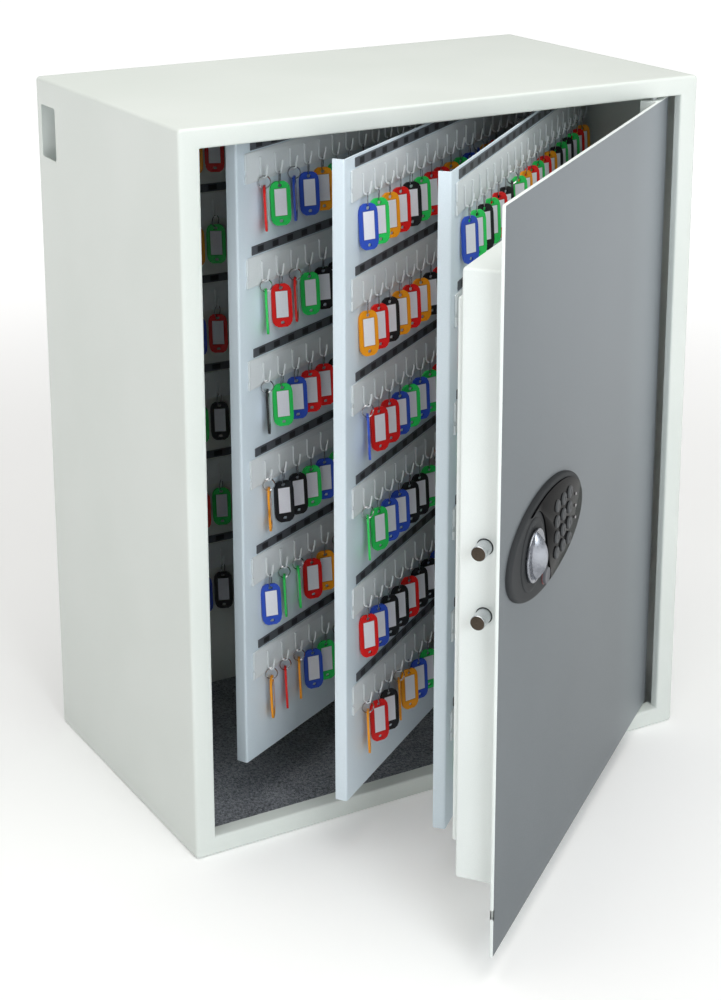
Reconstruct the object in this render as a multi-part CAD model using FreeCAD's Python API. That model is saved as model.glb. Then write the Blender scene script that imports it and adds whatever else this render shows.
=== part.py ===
import FreeCAD, Part
import math
import os

os.makedirs("parts", exist_ok=True)

# Steel key cabinet with a swing-out door and three hinged key leaves, in millimetres.
# +X is to the right, +Y to the back, +Z up; the origin is the centre of the underside.

# cabinet
width = 606.0
depth = 350.0
height = 750.0
sheet = 1.5
corner_radius = 4.0
opening_half = 281.0
opening_low = 20.0
opening_high = 730.0
side_return = 10.0
end_return = 18.0
fixing_x = 220.0
fixing_y = 110.0
wall_fixing_low = 50.0
wall_fixing_high = 650.0
fixing_radius = 4.5

# deposit slot in the left side and the chute behind it, measured behind the front plane
slot_front = 302.0
slot_back = 340.0
slot_low = 666.0
slot_high = 722.0
chute_front = 300.0
chute_back = 344.0
chute_right = -268.0
chute_low = 600.0
chute_high = 730.0

# door
hinge_x = 251.9
hinge_behind = 10.0
door_angle = 37.94
door_half = 278.5
door_low = 23.0
door_high = 727.0
door_sheet = 3.0
pin_radius = 4.0
pin_clearance = 0.05
tray_left = -258.4
tray_right = 192.0
tray_low = 85.0
tray_high = 665.0
tray_back = 44.0
cover_back = 48.5

# lock on the door
plate_x = -148.1
plate_z = 388.0
plate_half_x = 113.0
plate_half_z = 50.0
plate_proud = 5.0
panel_proud = 6.5
panel_half_x = 107.0
panel_half_z = 44.5
knob_x = -198.0
knob_z = 388.0
knob_radius = 25.0
spindle_radius = 5.0
collar_radius = 34.0
bush_hole = 7.1
key_columns = (-126.4, -106.4, -86.4)
key_rows = (409.5, 394.0, 378.5, 363.0)
key_radius = 6.0
cap_radius = 8.0
bolt_levels = (350.0, 415.0)
bolt_radius = 7.0
bolt_hole = 8.0
bolt_behind = 20.0
bolt_tip = -276.4
carrier_left = -218.0

# key leaves: pivot x, pivot behind the front plane, opening angle at rest
leaves = {
    "leaf_1": (242.0, 299.0, 28.0),
    "leaf_2": (257.0, 234.0, 35.4),
    "leaf_3": (280.0, 180.0, 41.3),
}
leaf_reach = 520.0
leaf_low = 60.0
leaf_high = 720.0
leaf_sheet = 1.5
leaf_edge = 12.0
leaf_pin_radius = 3.0

# hook rows
row_count = 6
row_pitch = 105.3
top_strip_z = 713.0
strip_height = 9.2
hook_count = 19
hook_pitch = 26.2
first_hook = 38.0
ring_outer = 7.0
ring_inner = 5.7
ring_thick = 1.4
tag_width = 21.5
tag_length = 46.0
tag_thick = 2.4
ring_reach = 6.4
ring_z = 675.65
tag_z = 667.7


def behind(distance):
    """y of a plane this far behind the front."""
    return distance - depth / 2


def box(x0, x1, y0, y1, z0, z1):
    """Box between two corners."""
    return Part.makeBox(x1 - x0, y1 - y0, z1 - z0, FreeCAD.Vector(x0, y0, z0))


def rod(x, y, z, radius, length, direction):
    """Cylinder from a point along a direction."""
    return Part.makeCylinder(radius, length, FreeCAD.Vector(x, y, z), FreeCAD.Vector(*direction))


def edges_where(shape, test):
    """Straight edges whose two ends satisfy a test."""
    found = []
    for edge in shape.Edges:
        ends = [v.Point for v in edge.Vertexes]
        if len(ends) == 2 and test(ends[0], ends[1]):
            found.append(edge)
    return found


def along(axis):
    """Test for an edge that runs along X, Y or Z."""
    def check(a, b):
        delta = b.sub(a)
        rest = [abs(delta[i]) for i in range(3) if i != axis]
        return max(rest) < 1e-6
    return check


def turned(shape, pivot_x, pivot_y, angle):
    """Shape turned about a vertical line."""
    result = shape.copy()
    result.rotate(FreeCAD.Vector(pivot_x, pivot_y, 0), FreeCAD.Vector(0, 0, 1), angle)
    return result


def save(name, shape):
    """Write one named piece."""
    shape.exportStep(os.path.join("parts", name + ".step"))
    print(name, len(shape.Solids))


def save_on_door(name, shape):
    """Write a piece drawn with the door closed, turned to the open angle."""
    save(name, turned(shape, hinge_x, behind(hinge_behind), door_angle))


def loop_solid(points, plane, start, thick):
    """Prism from a closed outline in the XZ or YZ plane."""
    corners = []
    for a, b in points:
        if plane == "xz":
            corners.append(FreeCAD.Vector(a, start, b))
        else:
            corners.append(FreeCAD.Vector(start, a, b))
    corners.append(corners[0])
    face = Part.Face(Part.makePolygon(corners))
    push = FreeCAD.Vector(0, thick, 0) if plane == "xz" else FreeCAD.Vector(thick, 0, 0)
    return face.extrude(push)


def ellipse_plate(half_x, half_z, y0, y1):
    """Elliptic plate facing the front."""
    curve = Part.Ellipse(FreeCAD.Vector(0, 0, 0), half_x, half_z)
    face = Part.Face(Part.Wire([curve.toShape()]))
    plate = face.extrude(FreeCAD.Vector(0, 0, y1 - y0))
    plate.rotate(FreeCAD.Vector(0, 0, 0), FreeCAD.Vector(1, 0, 0), 90)
    plate.translate(FreeCAD.Vector(plate_x, y1, plate_z))
    return plate


# ---- cabinet shell: one folded sheet with the front frame and its returns
front = behind(0)
back = behind(depth)
outer = box(-width / 2, width / 2, front, back, 0, height)
outer = outer.makeFillet(corner_radius, edges_where(outer, along(1)))
rim = [e for e in outer.Edges if all(abs(v.Point.y - front) < 1e-6 for v in e.Vertexes)]
outer = outer.makeFillet(corner_radius - 1, rim)
inner = box(-width / 2 + sheet, width / 2 - sheet, front + sheet, back + 5, sheet, height - sheet)
inner = inner.makeFillet(corner_radius - sheet, edges_where(inner, along(1)))
shell = outer.cut(inner)
mouth = box(-opening_half, opening_half, front - 5, front + 5, opening_low, opening_high)
shell = shell.cut(mouth)
ends = (front + sheet, front + end_return)
sides = (front + sheet, front + side_return)
ring_parts = [
    box(-opening_half - sheet, opening_half + sheet, ends[0], ends[1], opening_low - sheet, opening_low),
    box(-opening_half - sheet, opening_half + sheet, ends[0], ends[1], opening_high, opening_high + sheet),
    box(-opening_half - sheet, -opening_half, sides[0], sides[1], opening_low - sheet, opening_high + sheet),
    box(opening_half, opening_half + sheet, sides[0], sides[1], opening_low - sheet, opening_high + sheet),
]
shell = shell.fuse(ring_parts).removeSplitter()
slot = box(-width / 2 - 5, -width / 2 + 5, behind(slot_front), behind(slot_back), slot_low, slot_high)
slot = slot.makeFillet(3.0, edges_where(slot, along(0)))
shell = shell.cut(slot)
for x in (-fixing_x, fixing_x):
    for y in (-fixing_y, fixing_y):
        shell = shell.cut(rod(x, y, -1, fixing_radius, 5, (0, 0, 1)))
for z in (opening_low - 5, opening_high - 2):
    shell = shell.cut(rod(hinge_x, behind(hinge_behind), z, pin_radius + pin_clearance, 7, (0, 0, 1)))
save("cabinet_shell", shell)

panel = box(-width / 2 + sheet, width / 2 - sheet, back - sheet, back, sheet, height - sheet)
panel = panel.makeFillet(corner_radius - sheet, edges_where(panel, along(1)))
for x in (-fixing_x, fixing_x):
    for z in (wall_fixing_low, wall_fixing_high):
        panel = panel.cut(rod(x, back - 5, z, fixing_radius, 10, (0, 1, 0)))
save("back_panel", panel)

carpet = box(-298, 298, behind(30), back - sheet - 1, sheet, sheet + 3.5)
for x in (-fixing_x, fixing_x):
    for y in (-fixing_y, fixing_y):
        carpet = carpet.cut(rod(x, y, -1, 7, 10, (0, 0, 1)))
save("floor_carpet", carpet)

wall_inside = -width / 2 + sheet
chute = box(wall_inside, chute_right, behind(chute_front), behind(chute_back), chute_low, chute_high)
chute = chute.cut(box(wall_inside - 1, chute_right - 1.2, behind(chute_front) + 1.2,
                      behind(chute_back) - 1.2, chute_low - 1, chute_high - 1.2))
slope = [(wall_inside, 664.0), (wall_inside, 662.2), (-281.0, 638.0), (-280.0, 639.2)]
slide_plate = loop_solid(slope, "xz", behind(chute_front) + 1.2, chute_back - chute_front - 2.4)
save("deposit_chute", chute.fuse(slide_plate))

for name, z0, z1 in (("hinge_pin_upper", 704.0, height - sheet), ("hinge_pin_lower", sheet, 46.0)):
    save(name, rod(hinge_x, behind(hinge_behind), z0, pin_radius, z1 - z0, (0, 0, 1)))

for name, z0, drop in (("leaf_bracket_upper", leaf_high + 2.5, 0.0), ("leaf_bracket_lower", leaf_low - 5.5, -22.0)):
    x1 = width / 2 - sheet
    outline = [(226.0, behind(283)), (226.0, behind(315)), (x1, behind(315)), (x1, behind(165)),
               (264.0, behind(165)), (238.0, behind(222))]
    corners = [FreeCAD.Vector(x, y, z0) for x, y in outline]
    corners.append(corners[0])
    plate = Part.Face(Part.makePolygon(corners)).extrude(FreeCAD.Vector(0, 0, 3))
    if drop:
        tab = box(x1 - 3, x1, behind(165), behind(315), z0 + drop, z0)
    else:
        tab = box(x1 - 3, x1, behind(165), behind(315), z0 + 3, z0 + 21)
    plate = plate.fuse(tab)
    for pivot_x, pivot_behind, angle in leaves.values():
        plate = plate.cut(rod(pivot_x, behind(pivot_behind), z0 - 5, leaf_pin_radius + pin_clearance, 12, (0, 0, 1)))
    save(name, plate.removeSplitter())


# ---- hook rows: everything drawn on a face at y = 0 that looks towards -Y, then placed
hook_outline = [(-1.2, 700.0), (-3.2, 700.0), (-3.2, 682.5), (-4.2, 681.0), (-7.4, 681.0), (-8.4, 682.5),
                (-9.2, 693.0), (-11.2, 693.0), (-10.3, 681.8), (-8.4, 679.0), (-3.5, 679.0), (-1.2, 681.1)]
hook_model = loop_solid(hook_outline, "yz", -1.0, 2.0)
ring_model = rod(0, -ring_thick / 2, 0, ring_outer, ring_thick, (0, 1, 0))
ring_model = ring_model.cut(rod(0, -ring_thick, 0, ring_inner, 2 * ring_thick, (0, 1, 0)))
tag_model = box(-tag_width / 2, tag_width / 2, -tag_thick / 2, tag_thick / 2, -tag_length + 5, 5)
upper = edges_where(tag_model, lambda a, b: along(1)(a, b) and a.z > 0)
tag_model = tag_model.makeFillet(9.0, upper)
lower = edges_where(tag_model, lambda a, b: along(1)(a, b) and a.z < -tag_length + 5.5)
tag_model = tag_model.makeFillet(9.0, lower)
tag_model = tag_model.cut(rod(0, -tag_thick, 0, 3.0, 2 * tag_thick, (0, 1, 0)))


def placed(model, x, y, z, spin, flip):
    """Copy of a model on a face, spun about the vertical, mirrored to the rear if asked."""
    result = model.copy()
    turn = spin + (180 if flip else 0)
    result.rotate(FreeCAD.Vector(0, 0, 0), FreeCAD.Vector(0, 0, 1), turn)
    result.translate(FreeCAD.Vector(x, -y if flip else y, z))
    return result


def hook_rows(first_x, left, right, surface, flip):
    """Bars with hooks, label strips, rings and tags of one face."""
    bars, strips, rings, tags = [], [], [], []
    sign = -1 if flip else 1
    for row in range(row_count):
        lift = -row * row_pitch
        y0, y1 = sorted((-sign * surface, -sign * (surface + 1.2)))
        bars.append(box(left, right, y0, y1, 676 + lift, 707 + lift))
        y0, y1 = sorted((-sign * surface, -sign * (surface + 0.8)))
        middle = top_strip_z + lift
        strips.append(box(left + 9, right - 2, y0, y1, middle - strip_height / 2, middle + strip_height / 2))
        for k in range(hook_count):
            x = first_x + k * hook_pitch
            bars.append(placed(hook_model, x, -surface, lift, 0, flip))
            rings.append(placed(ring_model, x, -surface - ring_reach, ring_z + lift, 30, flip))
            tags.append(placed(tag_model, x, -surface - ring_reach, tag_z + lift, -28, flip))
    return bars, strips, rings, tags


wall_sets = hook_rows(-231.0, -258.0, 268.0, 0.0, False)
for name, solids in zip(("hook_bars", "label_strips", "key_rings", "key_tags"), wall_sets):
    group = Part.makeCompound(solids)
    group.translate(FreeCAD.Vector(0, back - sheet, 0))
    save("wall_" + name, group)

for leaf, (pivot_x, pivot_behind, angle) in leaves.items():
    pivot_y = behind(pivot_behind)
    half = leaf_sheet / 2
    free = -leaf_reach
    body = box(free, 6, -half, half, leaf_low, leaf_high)
    body = body.fuse(box(free, free + leaf_sheet, -half, leaf_edge, leaf_low, leaf_high))
    for z0 in (leaf_low, leaf_high - 15):
        body = body.fuse(box(-12, 6, -4, 4, z0, z0 + 15))
    body = body.fuse(rod(0, 0, leaf_high, leaf_pin_radius, 7, (0, 0, 1)))
    body = body.fuse(rod(0, 0, leaf_low - 7, leaf_pin_radius, 7, (0, 0, 1)))
    body = body.removeSplitter()
    body.translate(FreeCAD.Vector(pivot_x, pivot_y, 0))
    save(leaf + "_sheet", turned(body, pivot_x, pivot_y, angle))
    sets = [[], [], [], []]
    for flip in (False, True):
        made = hook_rows(free + first_hook, free + 14, -13, half, flip)
        for total, part in zip(sets, made):
            total.extend(part)
    for name, solids in zip(("hook_bars", "label_strips", "key_rings", "key_tags"), sets):
        group = Part.makeCompound(solids)
        group.translate(FreeCAD.Vector(pivot_x, pivot_y, 0))
        save(leaf + "_" + name, turned(group, pivot_x, pivot_y, angle))


# ---- door, drawn closed
skin = box(-door_half, door_half, front, front + door_sheet, door_low, door_high)
skin = skin.makeFillet(2.0, edges_where(skin, along(1)))
skin = skin.cut(box(-door_half - 1, -door_half + 2.5, front - 1, front + 5, 62, 71))
skin = skin.cut(rod(knob_x, front - 5, knob_z, bush_hole, 20, (0, 1, 0)))
save_on_door("door_skin", skin)

tray = box(tray_left, tray_right, front + door_sheet, behind(tray_back), tray_low, tray_high)
tray = tray.makeFillet(2.5, edges_where(tray, along(1)))
tray = tray.cut(box(tray_left + sheet, tray_right - sheet, front, behind(tray_back) - sheet,
                    tray_low + sheet, tray_high - sheet))
for z in bolt_levels:
    tray = tray.cut(rod(tray_left - 5, behind(bolt_behind), z, bolt_hole, 10, (1, 0, 0)))
save_on_door("door_tray", tray)

cover = box(tray_left + 4, tray_right - 4, behind(tray_back), behind(cover_back), 120, 638)
cover = cover.makeFillet(2.0, edges_where(cover, along(1)))
save_on_door("door_cover", cover)
screws = []
for x in (tray_left + 16, tray_right - 16):
    for z in (136.0, 379.0, 622.0):
        screws.append(rod(x, behind(cover_back), z, 4, 1.4, (0, 1, 0)))
save_on_door("cover_screws", Part.makeCompound(screws))

for name, z0 in (("hinge_bush_upper", 700.0), ("hinge_bush_lower", door_low)):
    bush = box(hinge_x - 14, hinge_x + 14, front + door_sheet, behind(20), z0, z0 + 27)
    bush = bush.cut(rod(hinge_x, behind(hinge_behind), z0 - 1, pin_radius + pin_clearance, 30, (0, 0, 1)))
    save_on_door(name, bush)

plate = ellipse_plate(plate_half_x, plate_half_z, front - plate_proud, front)
rim = [e for e in plate.Edges if abs(e.BoundBox.YMax - e.BoundBox.YMin) < 1e-6 and e.BoundBox.YMax < front - 1]
plate = plate.makeFillet(2.0, rim)
plate = plate.cut(rod(knob_x, front - 20, knob_z, bush_hole, 30, (0, 1, 0)))
for x in key_columns:
    for z in key_rows:
        plate = plate.cut(rod(x, front - 10, z, key_radius + 0.4, 8.8, (0, 1, 0)))
save_on_door("lock_escutcheon", plate)

gloss = ellipse_plate(panel_half_x, panel_half_z, front - panel_proud, front - plate_proud)
gloss = gloss.cut(rod(knob_x, front - 20, knob_z, collar_radius + 6, 30, (0, 1, 0)))
gloss = gloss.cut(box(-400, knob_x - 8, front - 20, front + 5, 300, 500))
gloss = gloss.cut(box(-400, -144.0, front - 20, front + 5, 300, 364))
for x in key_columns:
    for z in key_rows:
        gloss = gloss.cut(rod(x, front - 10, z, key_radius + 0.4, 10, (0, 1, 0)))
save_on_door("keypad_panel", gloss)

collar = rod(knob_x, front - 6.2, knob_z, collar_radius, 1.2, (0, 1, 0))
collar = collar.cut(rod(knob_x, front - 20, knob_z, bush_hole, 30, (0, 1, 0)))
save_on_door("knob_collar", collar)

bushing = rod(knob_x, front - 6.2, knob_z, 7, 16, (0, 1, 0))
bushing = bushing.cut(rod(knob_x, front - 20, knob_z, spindle_radius + pin_clearance, 40, (0, 1, 0)))
save_on_door("knob_bushing", bushing)

cap = rod(-158.3, front - 8.5, 353.0, cap_radius, 3.5, (0, 1, 0))
save_on_door("override_cap", cap)
lamps = [rod(-65, front - 7.3, z, 1.6, 0.8, (0, 1, 0)) for z in (376.0, 388.0, 400.0)]
save_on_door("status_lights", Part.makeCompound(lamps))

guides = []
for z in bolt_levels:
    block = box(tray_left + sheet, -241, behind(8), behind(32), z - 14, z + 14)
    block = block.cut(rod(-300, behind(bolt_behind), z, bolt_radius + pin_clearance, 80, (1, 0, 0)))
    guides.append(block)
save_on_door("bolt_guides", Part.makeCompound(guides))
save_on_door("lock_case", box(-172, -100, front + door_sheet, behind(36), 345, 430))
save_on_door("battery_case", box(-60, 10, front + door_sheet, behind(30), 350, 420))

# ---- boltwork
for name, z in (("bolt_lower", bolt_levels[0]), ("bolt_upper", bolt_levels[1])):
    bolt = rod(bolt_tip, behind(bolt_behind), z, bolt_radius, carrier_left - bolt_tip, (1, 0, 0))
    tip = [e for e in bolt.Edges if abs(e.BoundBox.XMax - bolt_tip) < 1e-6]
    save_on_door(name, bolt.makeChamfer(1.0, tip))
save_on_door("bolt_carrier", box(carrier_left, carrier_left + 10, behind(12), behind(28), 332, 433))

# ---- turning knob
knob = rod(knob_x, front - 9.5, knob_z, knob_radius, 3.0, (0, 1, 0))
grip = Part.Face(Part.Wire([Part.Ellipse(FreeCAD.Vector(0, 0, 0), 23.5, 8.0).toShape()]))
grip = grip.extrude(FreeCAD.Vector(0, 0, 12))
grip.rotate(FreeCAD.Vector(0, 0, 0), FreeCAD.Vector(0, 1, 0), 90)
grip.rotate(FreeCAD.Vector(0, 0, 0), FreeCAD.Vector(0, 0, 1), 90)
grip.translate(FreeCAD.Vector(knob_x, 0, knob_z))
grip.translate(FreeCAD.Vector(0, front - 19.5 - grip.BoundBox.YMin, 0))
grip = grip.common(rod(knob_x - 20, front + 12.0, knob_z, 31.5, 40, (1, 0, 0)))
save_on_door("knob", knob.fuse(grip).removeSplitter())
save_on_door("knob_spindle", rod(knob_x, front - 6.5, knob_z, spindle_radius, 42, (0, 1, 0)))
crank = rod(knob_x, behind(28.6), knob_z, 15, 4, (0, 1, 0))
save_on_door("drive_crank", crank.cut(rod(knob_x, front, knob_z, spindle_radius, 60, (0, 1, 0))))

# ---- keypad buttons
number = 1
for z in key_rows:
    for x in key_columns:
        button = rod(x, front - 8.3, z, key_radius, 5.3, (0, 1, 0))
        face_rim = [e for e in button.Edges if e.BoundBox.YMax < front - 8.2]
        save_on_door("key_button_%02d" % number, button.makeFillet(0.8, face_rim))
        number += 1
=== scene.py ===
import math
import bmesh
import bpy
import numpy as np
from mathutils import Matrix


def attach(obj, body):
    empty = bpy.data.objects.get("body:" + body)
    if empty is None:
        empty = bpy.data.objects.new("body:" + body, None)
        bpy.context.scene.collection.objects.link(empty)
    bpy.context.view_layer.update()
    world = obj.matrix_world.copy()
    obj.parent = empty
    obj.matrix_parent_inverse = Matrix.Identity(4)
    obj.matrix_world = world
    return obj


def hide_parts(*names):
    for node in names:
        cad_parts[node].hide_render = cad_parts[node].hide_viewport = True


# Key cabinet: steel body, swing-out door with a keypad lock, three key leaves.
# Lengths are written in millimetres and become metres when a piece is made.
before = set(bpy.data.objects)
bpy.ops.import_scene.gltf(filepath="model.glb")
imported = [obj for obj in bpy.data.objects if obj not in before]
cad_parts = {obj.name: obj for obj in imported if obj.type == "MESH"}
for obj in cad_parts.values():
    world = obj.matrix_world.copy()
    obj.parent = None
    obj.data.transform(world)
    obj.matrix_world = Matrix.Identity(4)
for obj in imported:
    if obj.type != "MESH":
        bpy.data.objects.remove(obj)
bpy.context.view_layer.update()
print("frame loaded:", len(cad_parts), "nodes")

millimetre = 0.001
front, back = -175.0, 175.0
hinge = (251.9, -165.0)
doorAngle = 37.94
leafPivots = {
    "leaf_1": (242.0, 124.0, 28.0),
    "leaf_2": (257.0, 59.0, 35.4),
    "leaf_3": (280.0, 5.0, 41.3),
}
rng = np.random.default_rng(41)


def sheetOf(points, wrapU=False, wrapV=False, uv=None, tint=None, finish=0, caps=()):
    # a grid of points (count, nu, nv, 3) becomes quads between neighbours; caps close whole rows by their index
    points = np.asarray(points, float)
    if points.ndim == 3:
        points = points[None]
    count, nu, nv = points.shape[:3]
    a, b = np.meshgrid(np.arange(nu - (not wrapU)), np.arange(nv - (not wrapV)), indexing="ij")
    a2, b2 = (a + 1) % nu, (b + 1) % nv
    quads = np.stack([a * nv + b, a2 * nv + b, a2 * nv + b2, a * nv + b2], -1).reshape(1, -1, 4)
    starts = np.arange(count) * nu * nv
    faces = (quads + starts[:, None, None]).reshape(-1, 4).tolist()
    for row in caps:
        faces += (starts[:, None] + (row % nu) * nv + np.arange(nv)[None]).tolist()
    flat = points.reshape(-1, 3)
    uv = flat[:, [0, 2]] if uv is None else np.broadcast_to(uv, points.shape[:3] + (2,)).reshape(-1, 2)
    tint = np.ones((len(flat), 4)) if tint is None else np.broadcast_to(tint, points.shape[:3] + (4,)).reshape(-1, 4)
    return {"points": flat, "faces": faces, "uv": uv, "tint": tint, "finish": finish}


def cutAway(patch, low, high):
    # drops the faces whose middle is inside a box, where a shaped hole goes in
    middles = np.array([patch["points"][f].mean(0) for f in patch["faces"]])
    inside = np.all((middles > low) & (middles < high), axis=1)
    patch["faces"] = [f for f, gone in zip(patch["faces"], inside) if not gone]
    return patch


def turnAbout(points, pivot, degrees):
    # points turned about an upright line
    c, s = math.cos(math.radians(degrees)), math.sin(math.radians(degrees))
    dx, dy = points[..., 0] - pivot[0], points[..., 1] - pivot[1]
    return np.stack([pivot[0] + c * dx - s * dy, pivot[1] + s * dx + c * dy, points[..., 2]], -1)


def onDoor(patch):
    patch["points"] = turnAbout(patch["points"], hinge, doorAngle)
    return patch


def onLeaf(patch, leaf):
    px, py, angle = leafPivots[leaf]
    moved = patch["points"] + np.array([px, py, 0.0])
    patch["points"] = turnAbout(moved, (px, py), angle)
    return patch


def addPiece(name, patches, body, finishes, nodes=(), sharp=32.0):
    # joins patches into one mesh, welds seams and poles, points faces outward and rounds the shading
    offset, points, faces, uvs, tints, finishIndex = 0, [], [], [], [], []
    for patch in patches:
        points.append(patch["points"])
        faces += [[i + offset for i in f] for f in patch["faces"]]
        uvs.append(patch["uv"])
        tints.append(patch["tint"])
        finishIndex += [patch["finish"]] * len(patch["faces"])
        offset += len(patch["points"])
    points, uvs, tints = np.concatenate(points) * millimetre, np.concatenate(uvs), np.concatenate(tints)
    mesh = bpy.data.meshes.new(name)
    mesh.from_pydata(points.tolist(), [], faces)
    corner = np.empty(len(mesh.loops), int)
    mesh.loops.foreach_get("vertex_index", corner)
    # the map is filled before the colours are added, because adding a layer moves the earlier ones
    flat = mesh.uv_layers.new(name="flat")
    flat.data.foreach_set("uv", uvs[corner].astype(np.float32).ravel())
    tint = mesh.color_attributes.new("tint", "FLOAT_COLOR", "CORNER")
    tint.data.foreach_set("color", tints[corner].astype(np.float32).ravel())
    mesh.polygons.foreach_set("material_index", finishIndex)
    work = bmesh.new()
    work.from_mesh(mesh)
    bmesh.ops.remove_doubles(work, verts=work.verts, dist=2e-6)
    bmesh.ops.recalc_face_normals(work, faces=work.faces)
    work.to_mesh(mesh)
    work.free()
    mesh.polygons.foreach_set("use_smooth", [True] * len(mesh.polygons))
    mesh.set_sharp_from_angle(angle=math.radians(sharp))
    piece = bpy.data.objects.new(name, mesh)
    bpy.context.scene.collection.objects.link(piece)
    for finish in finishes:
        mesh.materials.append(finish)
    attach(piece, body)
    if nodes:
        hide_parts(*nodes)
    return piece


def ringRows(rows, steps=5, lowSide=(), leftSide=()):
    # a rounded rectangle carried through rows of (a0, a1, b0, b1, radius, c): each corner is an arc about its own
    # centre, and extra columns stand on the left side at given b and on the low side at given a
    rows = [tuple(r) for r in rows]
    a0, a1, b0, b1, r = (np.array([row[i] for row in rows], float)[:, None] for i in range(5))
    arc = np.radians(np.linspace(0, 90, steps))[None]
    level = [row[5] for row in rows]

    def corner(cx, cz, start):
        angle = arc + math.radians(start)
        return np.stack([cx + r * np.cos(angle), cz + r * np.sin(angle)], -1)

    runs = [corner(a1 - r, b1 - r, 0), corner(a0 + r, b1 - r, 90)]
    kinds = [np.repeat([0.0, 1.0], [1, steps - 1]), np.repeat([1.0, 0.0], [steps - 1, 1])]
    if len(leftSide):
        b = np.broadcast_to(np.array(sorted(leftSide, reverse=True), float), (len(rows), len(leftSide)))
        runs.append(np.stack([np.broadcast_to(a0, b.shape), b], -1))
        kinds.append(np.zeros(len(leftSide)))
    runs.append(corner(a0 + r, b0 + r, 180))
    kinds.append(np.repeat([0.0, 1.0], [1, steps - 1]))
    if len(lowSide):
        a = np.broadcast_to(np.array(sorted(lowSide), float), (len(rows), len(lowSide)))
        runs.append(np.stack([a, np.broadcast_to(b0, a.shape)], -1))
        kinds.append(np.ones(len(lowSide)))
    runs.append(corner(a1 - r, b0 + r, 270))
    kinds.append(np.repeat([1.0, 0.0], [steps - 1, 1]))
    plan = np.concatenate(runs, 1)
    onEnd = np.concatenate(kinds)
    # a level given as a pair runs from its first value on the upright sides to its second on the ends
    depths = [c[0] + (c[1] - c[0]) * onEnd if isinstance(c, tuple) else np.full(len(onEnd), float(c)) for c in level]
    grid = np.concatenate([plan, np.stack(depths)[..., None]], -1)
    return grid[..., [0, 2, 1]]


def slabRows(a0, a1, b0, b1, c0, c1, radius, edge, steps=3):
    # rows of a closed block: out from the middle of one face, round its edge, across and back to the middle
    am, bm = (a0 + a1) / 2, (b0 + b1) / 2
    turn = np.linspace(0, math.pi / 2, steps)
    inner = edge * (1 - np.sin(turn))
    lowC, highC = c0 + edge * (1 - np.cos(turn)), c1 - edge * (1 - np.cos(turn))
    rim = lambda i, c: (a0 + i, a1 - i, b0 + i, b1 - i, max(radius - i, 0.0), c)
    rows = [(am, am, bm, bm, 0, c0)]
    rows += [rim(i, c) for i, c in zip(inner, lowC)]
    rows += [rim(i, c) for i, c in zip(inner[::-1], highC[::-1])]
    return rows + [(am, am, bm, bm, 0, c1)]


def lathe(centre, rows, sides, axis="y"):
    # radius as a function of height, turned about an axis: rows of (radius, height)
    radius, height = (np.array(v, float)[:, None] for v in zip(*rows))
    angle = np.linspace(0, 2 * math.pi, sides, endpoint=False)[None]
    u, v = radius * np.cos(angle), radius * np.sin(angle)
    h = np.broadcast_to(height, u.shape)
    grid = {"y": (u, h, v), "x": (h, u, v), "z": (u, v, h)}[axis]
    return np.stack(grid, -1) + np.array(centre, float)


def softCorners(corners, radii, steps=4):
    # a closed outline: each corner is a parabola between the points one radius away on both sides
    c = np.array(corners, float)
    r = np.broadcast_to(np.array(radii, float), len(c))[:, None]
    before, after = np.roll(c, 1, 0) - c, np.roll(c, -1, 0) - c
    a = c + r * before / np.linalg.norm(before, axis=1, keepdims=True)
    b = c + r * after / np.linalg.norm(after, axis=1, keepdims=True)
    t = np.linspace(0, 1, steps)[None, :, None]
    bent = (1 - t) ** 2 * a[:, None] + 2 * t * (1 - t) * c[:, None] + t ** 2 * b[:, None]
    return bent.reshape(-1, 2)


def carryUp(outline, levels, insets):
    # an outline in plan carried up through levels, drawn in along its own normals by an inset
    ahead = np.roll(outline, -1, 0) - np.roll(outline, 1, 0)
    normal = np.stack([ahead[:, 1], -ahead[:, 0]], -1)
    normal /= np.maximum(np.linalg.norm(normal, axis=1, keepdims=True), 1e-9)
    area = np.sum(outline[:, 0] * np.roll(outline[:, 1], -1) - outline[:, 1] * np.roll(outline[:, 0], -1))
    normal *= -1 if area > 0 else 1
    plan = outline[None] + np.array(insets, float)[:, None, None] * normal[None]
    rise = np.broadcast_to(np.array(levels, float)[:, None, None], plan.shape[:2] + (1,))
    return np.concatenate([plan, rise], -1)


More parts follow.
